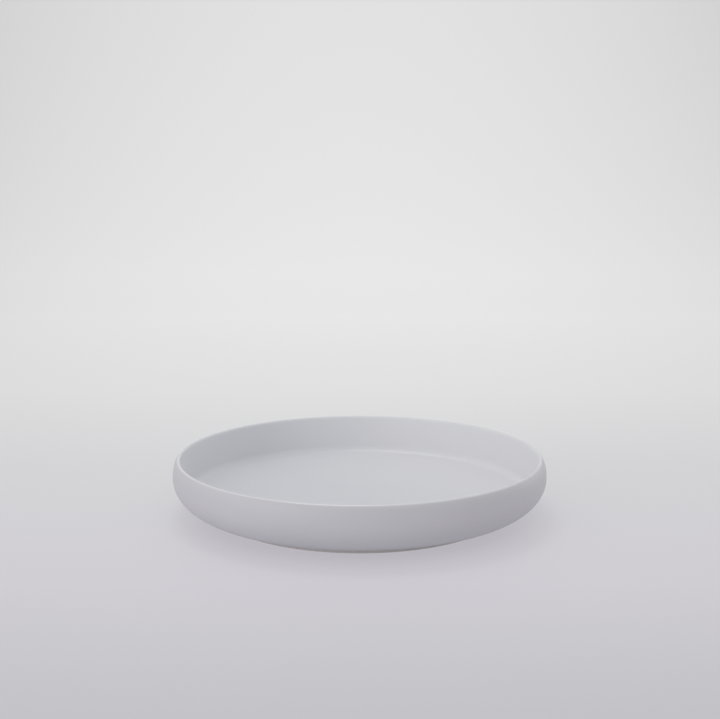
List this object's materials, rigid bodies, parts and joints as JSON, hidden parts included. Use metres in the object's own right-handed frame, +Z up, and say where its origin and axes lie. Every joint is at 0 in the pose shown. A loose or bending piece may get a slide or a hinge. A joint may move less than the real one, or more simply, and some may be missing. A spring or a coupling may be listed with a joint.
{
  "type": "round plate",
  "caption": "Round shallow plate with a flat floor, an upright rounded wall leaning in to a soft lip, and a bare foot ring; serves or holds food and small things.",
  "frame": {"origin": "centre of the circle that the foot ring stands on", "axes": "+Z up along the plate's axis of turning, from the table to the lip; X and Y are alike, because the plate is round"},
  "size_m": [0.2, 0.2, 0.0306],
  "materials": {
    "fired_clay": "matte",
    "liner_glaze": "satin",
    "outer_glaze": "satin"
  },
  "bodies": {
    "root": {"plate_body": "fired_clay", "inside_glaze": "liner_glaze", "outside_glaze": "outer_glaze", "base_glaze": "outer_glaze"}
  },
  "joints": []
}
